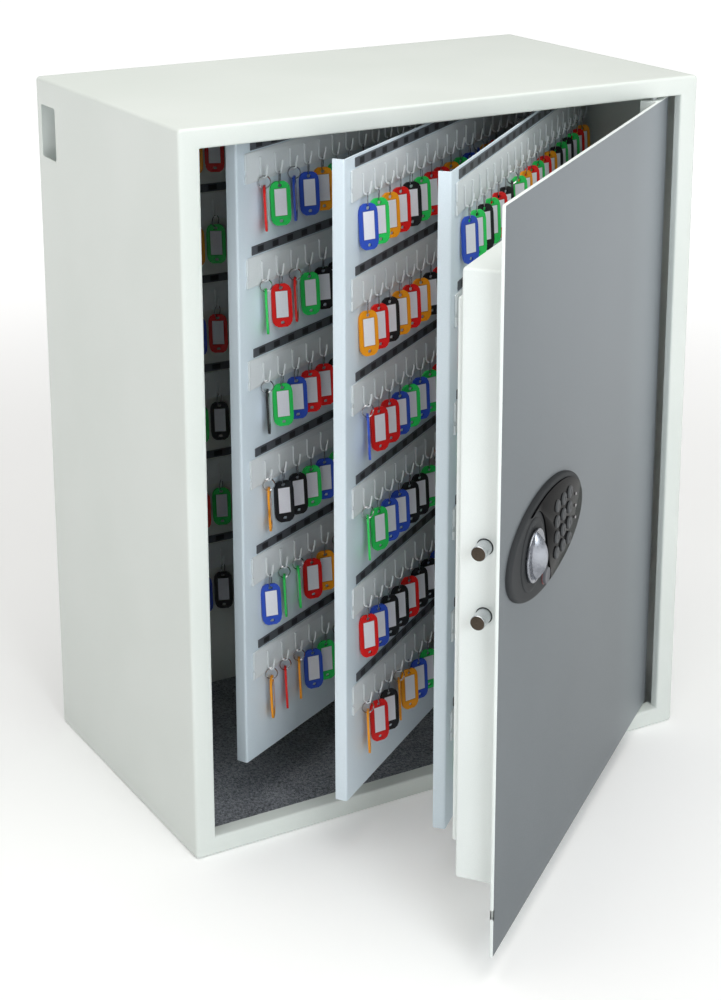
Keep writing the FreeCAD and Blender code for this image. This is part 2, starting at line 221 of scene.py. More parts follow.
class Wire:
    # a node socket that takes part in arithmetic
    def __init__(self, tree, socket=None):
        self.tree, self.socket = tree, socket

    def make(self, kind, settings=None, sockets=None, out=0):
        node = self.tree.nodes.new(kind)
        for key, value in (settings or {}).items():
            setattr(node, key, value)
        for key, value in (sockets or {}).items():
            if isinstance(value, Wire):
                self.tree.links.new(value.socket, node.inputs[key])
            else:
                node.inputs[key].default_value = value
        return Wire(self.tree, node.outputs[out])

    def math(self, operation, *values):
        return self.make("ShaderNodeMath", {"operation": operation}, dict(enumerate(values)))

    def __add__(self, other): return self.math("ADD", self, other)
    def __radd__(self, other): return self.math("ADD", other, self)
    def __sub__(self, other): return self.math("SUBTRACT", self, other)
    def __rsub__(self, other): return self.math("SUBTRACT", other, self)
    def __mul__(self, other): return self.math("MULTIPLY", self, other)
    def __rmul__(self, other): return self.math("MULTIPLY", other, self)
    def __pow__(self, other): return self.math("POWER", self, other)
    def __abs__(self): return self.math("ABSOLUTE", self)

    def ramp(self, low, high):
        # 0 below low, 1 above high, smooth between
        return self.make("ShaderNodeMapRange", {"interpolation_type": "SMOOTHSTEP"},
                         {0: self, 1: low, 2: high, 3: 0.0, 4: 1.0})

    def mix(self, colourA, colourB):
        # colourA where this value is 0 and colourB where it is 1
        return self.make("ShaderNodeMix", {"data_type": "RGBA"}, {0: self, 6: colourA, 7: colourB}, out=2)

    def spot(self):
        # the object's own coordinates, in metres
        return self.make("ShaderNodeTexCoord", out=3)

    def stretched(self, scale):
        return self.make("ShaderNodeMapping", {}, {"Vector": self.spot(), "Scale": scale})

    def noise(self, scale, detail=2.0, roughness=0.5, vector=None):
        sockets = {"Scale": scale, "Detail": detail, "Roughness": roughness}
        sockets["Vector"] = vector if vector is not None else self.spot()
        return self.make("ShaderNodeTexNoise", {}, sockets)

    def axes(self, vector):
        split = self.make("ShaderNodeSeparateXYZ", {}, {0: vector})
        outs = split.socket.node.outputs
        return [Wire(self.tree, outs[i]) for i in range(3)]

    def bump(self, height, strength, distance):
        return self.make("ShaderNodeBump", {}, {"Strength": strength, "Distance": distance, "Height": height})


def tone(red, green, blue):
    # a colour given in 0-255 display values, as the linear colour that a shader takes
    v = np.array([red, green, blue]) / 255.0
    lin = np.where(v <= 0.04045, v / 12.92, ((v + 0.055) / 1.055) ** 2.4)
    return (*map(float, lin), 1.0)


def newFinish(name, varying=None, **fixed):
    # an empty material with a Principled shader; fixed values go on its own sockets
    material = bpy.data.materials.new(name)
    material.use_nodes = True
    tree = material.node_tree
    shader = tree.nodes["Principled BSDF"]
    names = {"metallic": "Metallic", "roughness": "Roughness", "coat": "Coat Weight", "coatRoughness": "Coat Roughness",
             "specular": "Specular IOR Level", "sheen": "Sheen Weight", "sheenRoughness": "Sheen Roughness",
             "colour": "Base Color", "ior": "IOR", "transmission": "Transmission Weight"}
    for key, value in fixed.items():
        shader.inputs[names[key]].default_value = value
    root = Wire(tree)
    if varying:
        for key, wire in varying(root).items():
            tree.links.new(wire.socket, shader.inputs[key])
    return material


def powderCoat(name, light, dark, rough=0.42, grain=900.0, depth=0.00010, strength=0.35, **fixed):
    # baked powder paint: fine orange peel, faint clouding of the colour and a roughness that follows it
    def varying(w):
        peel = w.noise(grain, 3.0, 0.55)
        cloud = w.noise(7.0, 2.0)
        speck = w.noise(2600.0, 1.0)
        colour = (cloud * 0.55 + peel * 0.30 + speck * 0.15).ramp(0.30, 0.72).mix(dark, light)
        return {"Base Color": colour, "Roughness": peel * 0.14 + (rough - 0.05) + cloud * 0.04,
                "Normal": w.bump(peel + speck * 0.4, strength, depth)}
    return newFinish(name, varying, **fixed)


def brushedMetal(name, light, dark, rough=0.28, grain=(30.0, 30.0, 1400.0), metallic=1.0, **fixed):
    # drawn or plated metal: streaks along one direction with a few dull patches
    def varying(w):
        streaks = w.noise(1.0, 3.0, 0.6, vector=w.stretched(grain))
        dull = w.noise(60.0, 3.0)
        return {"Base Color": (streaks * 0.6 + dull * 0.4).ramp(0.3, 0.7).mix(dark, light),
                "Roughness": streaks * 0.14 + (rough - 0.10) + dull * 0.08,
                "Normal": w.bump(streaks, 0.12, 0.00005)}
    return newFinish(name, varying, metallic=metallic, **fixed)


bodyPaint = powderCoat("cream_powder_coat", tone(226, 231, 227), tone(220, 226, 221), rough=0.44)
leafPaint = powderCoat("pale_blue_powder_coat", tone(222, 234, 242), tone(210, 223, 232), rough=0.46)
whitePaint = powderCoat("white_powder_coat", tone(236, 241, 239), tone(227, 233, 231), rough=0.42)
barPaint = powderCoat("bar_white_paint", tone(226, 231, 233), tone(212, 218, 221), rough=0.38)
zincSteel = brushedMetal("zinc_plated_steel", tone(205, 207, 208), tone(165, 168, 172), rough=0.34)
ringSteel = brushedMetal("nickel_ring_wire", tone(214, 214, 216), tone(150, 150, 154), rough=0.22,
                         grain=(300.0, 300.0, 300.0))
darkPlastic = powderCoat("black_moulded_plastic", tone(52, 54, 58), tone(40, 42, 46), rough=0.5, grain=1600.0)


def doorFace(w):
    # silver-grey textured coat: fine pebbling with metal flake; the colour is made paler towards the top and the hinge
    # side, a painted reflection of the surroundings
    peel = w.noise(1100.0, 3.0, 0.6)
    flake = w.noise(3200.0, 1.0)
    cloud = w.noise(5.0, 2.0)
    x, y, z = w.axes(w.spot())
    # painted reflection: the colour grows paler towards the top and towards the hinge side of the door
    paintedReflection = (z * 0.7 + x * 0.9).ramp(0.10, 0.75)
    metal = (flake * 0.55 + peel * 0.3 + cloud * 0.15).ramp(0.3, 0.7).mix(tone(104, 110, 114), tone(132, 138, 142))
    # the flake colour is mixed towards pale grey by the painted reflection and by a painted bright band near the hinge
    # edge
    return {"Base Color": (paintedReflection * 0.45 + x.ramp(0.15, 0.27) * 0.4).mix(metal, tone(170, 177, 183)),
            "Metallic": flake * 0.2 + 0.4,
            "Roughness": peel * 0.16 + 0.38 + cloud * 0.04,
            "Normal": w.bump(peel * 0.7 + flake * 0.5, 0.5, 0.00014)}


doorPaint = newFinish("silver_grey_coat_with_painted_reflection", doorFace)


def feltSurface(w):
    # needled felt: pale and dark fibres in knots of a few millimetres, with loose threads
    knots = w.noise(260.0, 3.0, 0.7)
    fibres = w.noise(900.0, 2.0, 0.6, vector=w.stretched((1.0, 0.35, 1.0)))
    clouds = w.noise(30.0, 2.0)
    shade = (knots * 0.45 + fibres * 0.45 + clouds * 0.10).ramp(0.36, 0.66)
    return {"Base Color": shade.mix(tone(72, 76, 84), tone(168, 172, 180)),
            "Normal": w.bump(knots * 0.6 + fibres * 0.6, 0.8, 0.0012)}


felt = newFinish("charcoal_needle_felt", feltSurface, roughness=0.96, specular=0.15, sheen=0.25, sheenRoughness=0.5)


def tagSurface(w):
    # coloured frame round a white paper window; the map is in millimetres from the middle of the upper hole
    u, v, _ = w.axes(w.make("ShaderNodeUVMap", {"uv_map": "flat"}))
    down = v * -1.0
    window = (1 - abs(u).ramp(6.25, 6.55)) * down.ramp(3.2, 3.5) * (1 - down.ramp(30.4, 30.7))
    wide = (1 - abs(u).ramp(6.75, 7.25)) * down.ramp(2.5, 3.0) * (1 - down.ramp(30.9, 31.4))
    seam = wide - window
    grain = w.noise(900.0, 2.0)
    plastic = w.make("ShaderNodeAttribute", {"attribute_name": "tint"})
    paper = grain.mix(tone(228, 230, 240), tone(243, 244, 250))
    worn = (seam * 0.45 + grain * 0.08).mix(plastic, tone(30, 30, 34))
    return {"Base Color": window.mix(worn, paper),
            "Roughness": 0.34 + window * 0.2 + grain * 0.08,
            "Normal": w.bump(wide * -1.0 + window * 0.25, 0.6, 0.0004)}


tagPlastic = newFinish("tag_plastic_with_window", tagSurface, specular=0.3)


def stripSurface(w):
    # grey number strip: darker cells at the hook pitch with a thin pale rule between them; u is counted in cells
    u, v, _ = w.axes(w.make("ShaderNodeUVMap", {"uv_map": "flat"}))
    cell = w.math("FRACT", u)
    mark = (1 - abs(cell - 0.5).ramp(0.19, 0.215)) * (1 - abs(v).ramp(2.9, 3.1))
    grain = w.noise(700.0, 2.0)
    ground = grain.mix(tone(78, 82, 88), tone(98, 102, 108))
    return {"Base Color": mark.mix(ground, tone(36, 37, 41)), "Roughness": 0.42 + grain * 0.15,
            "Normal": w.bump(grain * 0.3 - mark, 0.3, 0.0002)}


stripFinish = newFinish("label_strip_grey", stripSurface)

lockMatt = powderCoat("lock_matt_grey", tone(58, 60, 62), tone(47, 49, 51), rough=0.6, grain=1800.0, depth=0.00006,
                      specular=0.2)


def glossPanel(w):
    # polished black cover with faint dust and wipe marks in its clear layer
    dust = w.noise(1500.0, 2.0)
    wipe = w.noise(18.0, 2.0)
    return {"Base Color": (dust * 0.5 + wipe * 0.5).ramp(0.35, 0.8).mix(tone(5, 5, 6), tone(14, 14, 16)),
            "Roughness": 0.10 + wipe * 0.10 + dust * 0.04}


lockGloss = newFinish("lock_gloss_black", glossPanel, specular=0.015)
keyPlastic = powderCoat("key_grey_rubber", tone(92, 94, 96), tone(76, 78, 80), rough=0.55, grain=2200.0, depth=0.00004,
                        specular=0.25)
capPlastic = powderCoat("override_cap_grey", tone(96, 98, 104), tone(80, 82, 88), rough=0.42, grain=2200.0,
                        depth=0.00004)
wellDark = powderCoat("key_well_dark", tone(24, 25, 28), tone(16, 17, 19), rough=0.6, grain=1800.0)
markPaint = powderCoat("keypad_numeral_ink", tone(34, 35, 38), tone(26, 27, 30), rough=0.5, grain=2200.0, depth=0.00002)
capTrim = powderCoat("override_cap_trim", tone(120, 38, 34), tone(96, 30, 28), rough=0.35, grain=2000.0, depth=0.00002)
lampColour = lambda w: {"Base Color": w.noise(900.0).mix(tone(128, 126, 128), tone(152, 148, 149))}
lampLens = newFinish("lamp_lens", lampColour, roughness=0.2, coat=0.5)


def satinChrome(w):
    # plated die casting: slow clouding of the shine and faint hand marks
    smudge = w.noise(70.0, 3.0)
    fine = w.noise(420.0, 2.0)
    return {"Base Color": (smudge * 0.7 + fine * 0.3).ramp(0.3, 0.7).mix(tone(122, 125, 132), tone(160, 163, 170)),
            "Roughness": 0.22 + smudge * 0.08 + fine * 0.02}


knobMetal = newFinish("satin_chrome", satinChrome, metallic=1.0)


def boltSurface(w):
    # bright plated side and a dull sawn end; the map's u is the distance from the tip
    u, v, _ = w.axes(w.make("ShaderNodeUVMap", {"uv_map": "flat"}))
    side = u.ramp(0.25, 0.7)
    saw = w.noise(1.0, 2.0, 0.6, vector=w.stretched((400.0, 400.0, 1800.0)))
    bright = saw.mix(tone(196, 199, 203), tone(232, 234, 237))
    dull = saw.mix(tone(64, 57, 50), tone(98, 89, 79))
    return {"Base Color": side.mix(dull, bright), "Roughness": 0.52 - side * 0.32 + saw * 0.08,
            "Normal": w.bump(saw, 0.2, 0.00006)}


boltMetal = newFinish("bolt_bright_plate", boltSurface, metallic=1.0)
print("finishes made")


cabinet = {"halfWidth": 303.0, "height": 750.0, "sheet": 1.5, "corner": 4.0, "openHalf": 281.0, "openLow": 20.0,
           "openHigh": 730.0, "sideReturn": 10.0, "endReturn": 18.0, "mouthBend": 2.2, "edgeBend": 3.0,
           "mouthCorner": 0.8}


def bodyShell(c):
    # the sheet's section is carried round a rounded rectangle: return, mouth bend, front face, outer bend, wall and
    # back inside
    w, h, s = c["halfWidth"], c["height"], c["sheet"]
    returns = (front + c["sideReturn"], front + c["endReturn"])
    quarter = np.linspace(0, math.pi / 2, 5)

    def mouth(grow, level):
        wide = c["openHalf"] + grow
        return (-wide, wide, c["openLow"] - grow, c["openHigh"] + grow, c["mouthCorner"] + grow, level)

    def wall(inset, level):
        return (-w + inset, w - inset, inset, h - inset, max(c["corner"] - inset, 0.6), level)

    walls = [front + 8.0, -118.0, -102.0, 102.0, 118.0, 123.0, 169.0, back - 0.5]
    rows = [mouth(s, returns), mouth(s - 0.4, (returns[0] + 0.3, returns[1] + 0.3)), mouth(0.0, returns)]
    b = c["mouthBend"]
    rows += [mouth(b * (1 - math.cos(q)), front + b * (1 - math.sin(q))) for q in quarter]
    e = c["edgeBend"]
    rows += [wall(e * (1 - math.sin(q)), front + e * (1 - math.cos(q))) for q in quarter]
    rows += [wall(0.0, y) for y in walls] + [wall(0.5, back)]
    rows += [wall(s, back)] + [wall(s, y) for y in walls[::-1]]
    rows += [wall(s, front + 4.5), wall(s + 1.2, front + 2.0), wall(s + 3.0, front + s)]
    rows += [mouth(s + 2.5, front + s), mouth(s + 0.4, front + 2.2)]
    holes = [-228.0, -212.0, 212.0, 228.0]
    grid = ringRows(rows, steps=6, lowSide=holes, leftSide=[662.0, 726.0])
    return cutAway(sheetOf(grid, wrapU=True, wrapV=True), (-304, 125, 664), (-300, 167, 724))


def holeRows(cell, hole, radius, c0, c1, lip=0.5):
    # between a square cell and a rounded hole, over a small lip on both faces of the sheet
    s = 1 if c1 > c0 else -1
    grown = lambda g: (hole[0] - g, hole[1] + g, hole[2] - g, hole[3] + g, radius + g)
    return [(*cell, 0, c0), (*grown(lip), c0), (*grown(lip * 0.3), c0 + s * lip * 0.3), (*grown(0), c0 + s * lip),
            (*grown(0), c1 - s * lip), (*grown(lip * 0.3), c1 - s * lip * 0.3), (*grown(lip), c1), (*cell, 0, c1)]


def placeAxes(rows, steps, kind):
    # rows are (a, b, c): "x" puts a on y, b on z and c on x; "z" puts a on x, b on y and c on z
    grid = ringRows(rows, steps=steps)
    a, c, b = grid[..., 0], grid[..., 1], grid[..., 2]
    return np.stack({"x": (c, a, b), "z": (a, b, c)}[kind], -1)


shellPatch = bodyShell(cabinet)
shellParts = [shellPatch]
slotCell, slotHole = (123.0, 169.0, 662.0, 726.0), (127.0, 165.0, 666.0, 722.0)
slotRows = holeRows(slotCell, slotHole, 3.0, -cabinet["halfWidth"], cabinet["sheet"] - cabinet["halfWidth"])
shellParts.append(sheetOf(placeAxes(slotRows, 6, "x"), wrapV=True))
for x in (-220.0, 220.0):
    for y in (-110.0, 110.0):
        cutAway(shellPatch, (x - 6, y - 6, -1), (x + 6, y + 6, 2))
        cell, hole = (x - 8, x + 8, y - 8, y + 8), (x - 4.5, x + 4.5, y - 4.5, y + 4.5)
        shellParts.append(sheetOf(placeAxes(holeRows(cell, hole, 4.5, 0.0, 1.5, 0.3), 6, "z"), wrapV=True))
addPiece("cabinet_body", shellParts, "cabinet", [bodyPaint], ["cabinet_shell"])

carpet = {"low": 1.5, "top": 5.0, "wave": 0.35, "cells": (90, 48)}


def feltTop(c):
    # height = mean level plus three crossed sine waves and fine seeded noise, down to the floor at the rim
    nx, ny = c["cells"]
    u, v = np.meshgrid(np.linspace(0, 1, nx), np.linspace(0, 1, ny), indexing="ij")
    x, y = -298 + 596 * u, front + 30 + (back - 2.5 - front - 30) * v
    wave = np.sin(x / 31 + y / 57) + np.sin(x / 83 - y / 29) + np.sin(y / 19 + 1.3)
    z = c["top"] - 0.75 + c["wave"] * 0.22 * wave + rng.uniform(-0.06, 0.06, x.shape)
    top = np.stack([x, y, z], -1)
    rim = top.copy()
    rim[..., 2] = c["low"]
    skirt = lambda line: np.stack([line, line * [1, 1, 0] + [0, 0, c["low"]]], 0)
    return [sheetOf(top), sheetOf(rim)] + [sheetOf(skirt(l)) for l in (top[0], top[-1], top[:, 0], top[:, -1])]


addPiece("felt_mat", feltTop(carpet), "cabinet", [felt], ["floor_carpet"], sharp=60.0)
print("cabinet made")


rowSet = {"rows": 6, "pitch": 105.3, "stripMiddle": 713.0, "stripHeight": 9.2, "hooks": 19, "step": 26.2,
          "ringRadius": 6.35, "ringWire": 0.62, "ringCentre": 675.25, "ringFromFace": 6.4, "tagPivot": 667.2,
          "lean": 0.05}
tagColours = {"r": tone(230, 28, 26), "g": tone(46, 214, 98), "b": tone(50, 86, 198), "o": tone(250, 162, 24),
              "k": tone(30, 31, 34)}
tagSpin = {"leaf_1": -33.0, "leaf_2": -31.0, "leaf_3": -29.0, "wall": -24.0}
# front-face tags, row by row from the free edge; a capital letter hangs edge-on
seenTags = {
    "leaf_1": ["RgBbogkkk", "GrRgkkb", "KgbrrkO", "OkkgbgR", "bGGroOB", "ORObgG"],
    "leaf_2": ["bgorkgrrogbBorbo", "orkorokr", "Brrbgbgr", "GgbbkkgR", "rbkkrkkb", "OrkOobgOg"],
    "leaf_3": ["bgkgrkKgorgrokgkgr", "rgokbg", "gbrokr", "korgbk", "bgrkro", "grobkg"],
    "wall": ["rgbkor", "bkrgog", "gorkbr", "krbogk", "ogkbrg", "rkgobk"],
}
jWire = {"radius": 0.95, "path": ((0.6, 699.6), (2.1, 699.4), (2.2, 682.8), (3.3, 680.4), (6.9, 680.0), (8.8, 681.2),
                                  (9.4, 685.2), (10.3, 688.8), (10.6, 693.0))}


def hookGrid(places, sign):
    # a five-sided wire carried along the J; each ring of points lies across the path's own direction
    path = np.array(jWire["path"])
    ahead = np.gradient(path, axis=0)
    ahead /= np.linalg.norm(ahead, axis=1, keepdims=True)
    across = np.stack([-ahead[:, 1], ahead[:, 0]], -1)
    angle = np.linspace(0, 2 * math.pi, 5, endpoint=False)
    path, across = np.vstack([path[:1], path, path[-1:] + [[0.05, 0.35]]]), np.vstack([across[:1], across, across[-1:]])
    thick = np.concatenate([[0.0], np.ones(len(path) - 3), [0.8, 0.0]]) * jWire["radius"]
    du = thick[:, None] * np.cos(angle)[None]
    dv = thick[:, None] * np.sin(angle)[None]
    reach = path[:, None, 0] + dv * across[:, None, 0]
    rise = path[:, None, 1] + dv * across[:, None, 1]
    one = np.stack([du, -reach, rise], -1)
    one = np.concatenate([one[..., :1] * sign, one[..., 1:2] * sign, one[..., 2:]], -1)
    return places[:, None, None, :] + one[None]


def spun(points, degrees):
    # every copy turned about its own upright axis by its own angle
    c, s = np.cos(np.radians(degrees))[:, None, None], np.sin(np.radians(degrees))[:, None, None]
    x, y = points[..., 0], points[..., 1]
    return np.stack([c * x - s * y, s * x + c * y, points[..., 2] + np.zeros_like(c)], -1)


def ringGrid(places, spins):
    # a torus: wire circle carried round the ring circle
    a = np.linspace(0, 2 * math.pi, 14, endpoint=False)[:, None]
    b = np.linspace(0, 2 * math.pi, 4, endpoint=False)[None]
    big, small = rowSet["ringRadius"], rowSet["ringWire"]
    r = big + small * np.cos(b)
    one = np.stack([r * np.cos(a), small * np.sin(b) + 0 * a, r * np.sin(a)], -1)
    return spun(np.broadcast_to(one, (len(places),) + one.shape), spins) + places[:, None, None, :]


def tagHalf(lower):
    # half a tag as a flattened torus: its outline joined over both faces to the rim of its hole
    middle, side = -18.0, 10.75
    if lower:
        corners = [(-side, middle), (-side, -41.2), (side, -41.2), (side, middle)]
        hole, holeRadius = np.array([0.0, -36.2]), 2.2
    else:
        corners = [(side, middle), (side, 4.8), (-side, 4.8), (-side, middle)]
        hole, holeRadius = np.array([0.0, 0.0]), 2.3
    outline = softCorners(corners, [0.01, 10.6, 10.6, 0.01], 5)
    outline = outline[np.concatenate([[0], np.arange(5, 9), np.arange(11, 15), [19]])]
    toward = np.arctan2(outline[:, 1] - hole[1], outline[:, 0] - hole[0])
    rim = hole + holeRadius * np.stack([np.cos(toward), np.sin(toward)], -1)
    loops = [(rim, 1.0), (rim, -1.0), (outline, -1.15), (outline, 1.15)]
    return np.stack([np.concatenate([p[:, :1], np.full((len(p), 1), d), p[:, 1:]], -1) for p, d in loops])


def tagGrids(places, spins, tints, sign):
    # every tag leans a little off the face, more towards its foot
    patches = []
    for lower in (False, True):
        one = tagHalf(lower)
        many = spun(np.broadcast_to(one, (len(places),) + one.shape), spins) + places[:, None, None, :]
        many[..., 1] += sign * rowSet["lean"] * one[..., 2]
        uv = np.broadcast_to(one[..., [0, 2]], many.shape[:3] + (2,))
        patches.append(sheetOf(many, True, True, uv=uv, tint=tints[:, None, None, :]))
    return patches


def faceSet(owner, firstX, left, right, surface, flip, viewAngle):
    # bars, strips, rings and tags of one face at y = 0 that looks to -y, or to +y when flipped
    r, sign = rowSet, (-1.0 if flip else 1.0)
    bars, strips, hooks = [], [], []
    k = np.arange(r["hooks"])
    letters = {"r": 0, "g": 1, "b": 2, "o": 3, "k": 4}
    palette = np.array([tagColours[c] for c in "rgbok"])
    for row in range(r["rows"]):
        lift = -row * r["pitch"]
        y0, y1 = sorted((-sign * surface, -sign * (surface + 1.2)))
        bar = slabRows(left, right, 676 + lift, 707 + lift, y0, y1, 1.0, 0.35, 3)
        bars.append(sheetOf(ringRows(bar, 3), wrapV=True))
        # end ears of the bar, folded forward
        for z0, z1 in ((676.4, 685.4), (689.8, 706.6)):
            e0, e1 = sorted((-sign * (surface + 0.2), -sign * (surface + 2.6)))
            ear = slabRows(left - 1.4, left + 0.4, z0 + lift, z1 + lift, e0, e1, 0.5, 0.25, 2)
            bars.append(sheetOf(ringRows(ear, 2), wrapV=True))
        y0, y1 = sorted((-sign * surface, -sign * (surface + 0.8)))
        mid, half = r["stripMiddle"] + lift, r["stripHeight"] / 2
        grid = ringRows(slabRows(left + 9, right - 2, mid - half, mid + half, y0, y1, 0.6, 0.2, 2), 2)
        uv = np.stack([(grid[..., 0] - firstX) / r["step"] + 0.5, grid[..., 2] - mid], -1)
        strips.append(sheetOf(grid, wrapV=True, uv=uv[None]))
        hooks.append(np.stack([firstX + k * r["step"], np.full(len(k), -sign * surface), np.full(len(k), lift)], -1))
    places = np.concatenate(hooks)
    bars.append(sheetOf(hookGrid(places, sign), wrapV=True))
    # colours: given letters first, the rest drawn from the seeded generator
    pick = rng.choice(5, size=(r["rows"], r["hooks"]), p=(0.24, 0.24, 0.18, 0.14, 0.20))
    edgeOn = rng.random((r["rows"], r["hooks"])) < 0.10
    if not flip:
        for row, text in enumerate(seenTags[owner]):
            for i, letter in enumerate(text):
                pick[row, i], edgeOn[row, i] = letters[letter.lower()], letter.isupper()
    edgeSpin = min(viewAngle, 38.0)
    loose = rng.normal(0, 4.0, pick.shape)
    spins = np.where(edgeOn, edgeSpin + loose * 0.5, tagSpin[owner] + loose * 0.7).ravel() + (180.0 if flip else 0.0)
    ringSpins = np.where(edgeOn, -40 + loose, edgeSpin - 4 + loose * 1.5).ravel() + (180.0 if flip else 0.0)
    out = -sign * (surface + r["ringFromFace"])
    ringAt = places * [1, 0, 1] + [0, out, r["ringCentre"]]
    tagAt = places * [1, 0, 1] + [0, out, r["tagPivot"]]
    shade = 1.0 + rng.normal(0, 0.05, (pick.size, 1))
    tints = palette[pick.ravel()] * np.concatenate([np.repeat(shade, 3, 1), np.ones((pick.size, 1))], 1)
    rings = [sheetOf(ringGrid(ringAt, ringSpins), True, True)]
    return bars, strips, rings, tagGrids(tagAt, spins, np.clip(tints, 0, 1), sign)


setNames = (("hook_bars", "white_paint", barPaint), ("label_strips", "label_grey", stripFinish),
            ("key_rings", "ring_steel", ringSteel), ("key_tags", "tag_plastic", tagPlastic))


def place(patch, move):
    patch["points"] = patch["points"] + np.array(move)
    return patch


wallSet = faceSet("wall", -231.0, -258.0, 268.0, 0.0, False, 60.0)
for (part, slotName, finish), patches in zip(setNames, wallSet):
    patches = [place(p, (0, back - cabinet["sheet"], 0)) for p in patches]
    addPiece("wall_" + part + "_fine", patches, "cabinet", [finish], ["wall_" + part])

leafSheet = {"free": -520.0, "hingeSide": 6.0, "half": 0.75, "low": 60.0, "high": 720.0, "edge": 12.0, "bend": 2.6}


def leafPatches(c):
    # L-shaped section with a rolled free edge, carried upright; the two ends are drawn in a little and closed
    f, h, e = c["free"], c["half"], c["edge"]
    corners = [(f, -h), (c["hingeSide"], -h), (c["hingeSide"], h), (f + 1.5, h), (f + 1.5, e), (f, e)]
    outline = softCorners(corners, [c["bend"], 0.3, 0.3, 1.1, 0.5, 0.5], 5)
    grid = carryUp(outline, [c["low"], c["low"] + 0.15, c["low"] + 0.5, c["high"] - 0.5, c["high"] - 0.15, c["high"]],
                   [0.35, 0.12, 0.0, 0.0, 0.12, 0.35])
    parts = [sheetOf(grid, wrapV=True, caps=(0, -1))]
    for z0 in (c["low"], c["high"] - 15):
        rows = slabRows(-12, 6, -4, 4, z0, z0 + 15, 1.0, 0.4, 3)
        parts.append(sheetOf(placeAxes(rows, 3, "z"), wrapV=True))
    for z0, z1 in ((c["high"] - 0.5, c["high"] + 7), (c["low"] - 7, c["low"] + 0.5)):
        rows = [(0, z0), (2.6, z0), (3, z0 + 0.4), (3, z1 - 0.4), (2.6, z1), (0, z1)]
        parts.append(sheetOf(lathe((0, 0, 0), rows, 20, "z"), wrapV=True, finish=1))
    return parts


for leaf in leafPivots:
    view = 60.0 - leafPivots[leaf][2]
    patches = [onLeaf(p, leaf) for p in leafPatches(leafSheet)]
    addPiece(leaf + "_panel", patches, leaf, [leafPaint, zincSteel], [leaf + "_sheet"])
    sets = [faceSet(leaf, -482.0, -506.0, -13.0, 0.75, flip, view) for flip in (False, True)]
    for i, (part, slotName, finish) in enumerate(setNames):
        patches = [onLeaf(p, leaf) for p in sets[0][i] + sets[1][i]]
        addPiece(leaf + "_" + part + "_fine", patches, leaf, [finish], [leaf + "_" + part])
print("leaves made")


door = {"half": 278.5, "low": 23.0, "high": 727.0, "sheet": 3.0, "corner": 2.0, "edge": 0.9, "notch": (62.0, 71.0, 2.5)}


def doorPanel(c):
    # outline with the small notch in the free edge, carried through the thickness with softened edges
    h, (n0, n1, nd) = c["half"], c["notch"]
    corners = [(-h, c["low"]), (h, c["low"]), (h, c["high"]), (-h, c["high"])]
    corners += [(-h, n1), (-h + nd, n1), (-h + nd, n0), (-h, n0)]
    outline = softCorners(corners, [c["corner"]] * 4 + [0.4, 0.4, 0.4, 0.4], 5)
    e, t = c["edge"], c["sheet"]
    q = np.linspace(0, math.pi / 2, 4)
    levels = np.concatenate([e * (1 - np.cos(q)), t - 0.4 + 0 * q[:1], [t]]) + front
    insets = np.concatenate([e * (1 - np.sin(q)), [0.0], [0.35]])
    grid = carryUp(outline, levels, insets)[..., [0, 2, 1]]
    face = sheetOf(grid[:1], wrapV=True, caps=(0,))
    rest = sheetOf(grid, wrapV=True, caps=(-1,), finish=1)
    return [face, rest]


doorParts = [onDoor(p) for p in doorPanel(door)]
addPiece("door_leaf", doorParts, "door", [doorPaint, whitePaint], ["door_skin"])

tray = {"left": -258.4, "right": 192.0, "low": 85.0, "high": 665.0, "back": 44.0, "sheet": 1.5, "corner": 3.0,
        "bend": 2.2, "bolts": (350.0, 415.0), "boltBehind": 20.0, "boltHole": 7.9}


def trayPatches(c):
    # a folded tray: inside back, inside wall, front rim, outer wall, bend and outer back, closed at both middles
    rim = lambda i, y, r: (c["left"] + i, c["right"] - i, c["low"] + i, c["high"] - i, r, y)
    am, bm = (c["left"] + c["right"]) / 2, (c["low"] + c["high"]) / 2
    q, b, s = np.linspace(0, math.pi / 2, 5), c["bend"], c["sheet"]
    end = front + c["back"]
    y0, y1 = front + c["boltBehind"] - 10.5, front + c["boltBehind"] + 10.5
    rows = [(am, am, bm, bm, 0, end - s)] + [rim(s, y, 1.5) for y in (end - s, y1, y0, front + 3.0)]
    rows += [rim(0, front + 3.0, c["corner"]), rim(0, y0, c["corner"]), rim(0, y1, c["corner"])]
    rows += [rim(b * (1 - math.cos(a)), end - b + b * math.sin(a), c["corner"]) for a in q] + [(am, am, bm, bm, 0, end)]
    cells = [z + d for z in c["bolts"] for d in (-10.5, 10.5)]
    body = sheetOf(ringRows(rows, 5, leftSide=cells), wrapV=True)
    parts = [body]
    for z in c["bolts"]:
        cutAway(body, (c["left"] - 1, y0, z - 10), (c["left"] + 2, y1, z + 10))
        middle, r = front + c["boltBehind"], c["boltHole"]
        hole = (middle - r, middle + r, z - r, z + r)
        rows = holeRows((y0, y1, z - 10.5, z + 10.5), hole, r, c["left"], c["left"] + s, 0.4)
        parts.append(sheetOf(placeAxes(rows, 9, "x"), wrapV=True))
    return parts


addPiece("door_tray_fine", [onDoor(p) for p in trayPatches(tray)], "door", [whitePaint], ["door_tray"])

coverRows = slabRows(-254.4, 188.0, 120.0, 638.0, front + 44.0, front + 48.5, 3.0, 1.3, 4)
coverPlate = onDoor(sheetOf(ringRows(coverRows, 5), wrapV=True))
addPiece("door_cover_fine", [coverPlate], "door", [whitePaint], ["door_cover"])

screwRows = [(0, 0.45), (1.5, 0.45), (1.55, 1.1), (2.2, 1.35), (3.2, 1.15), (3.9, 0.5), (4.0, 0.0), (0, 0.0)]
screwParts = []
for x in (-242.4, 176.0):
    for z in (136.0, 379.0, 622.0):
        screwParts.append(onDoor(sheetOf(lathe((x, front + 48.5, z), screwRows, 24), wrapV=True)))
addPiece("cover_screws_fine", screwParts, "door", [zincSteel], ["cover_screws"])
print("door made")


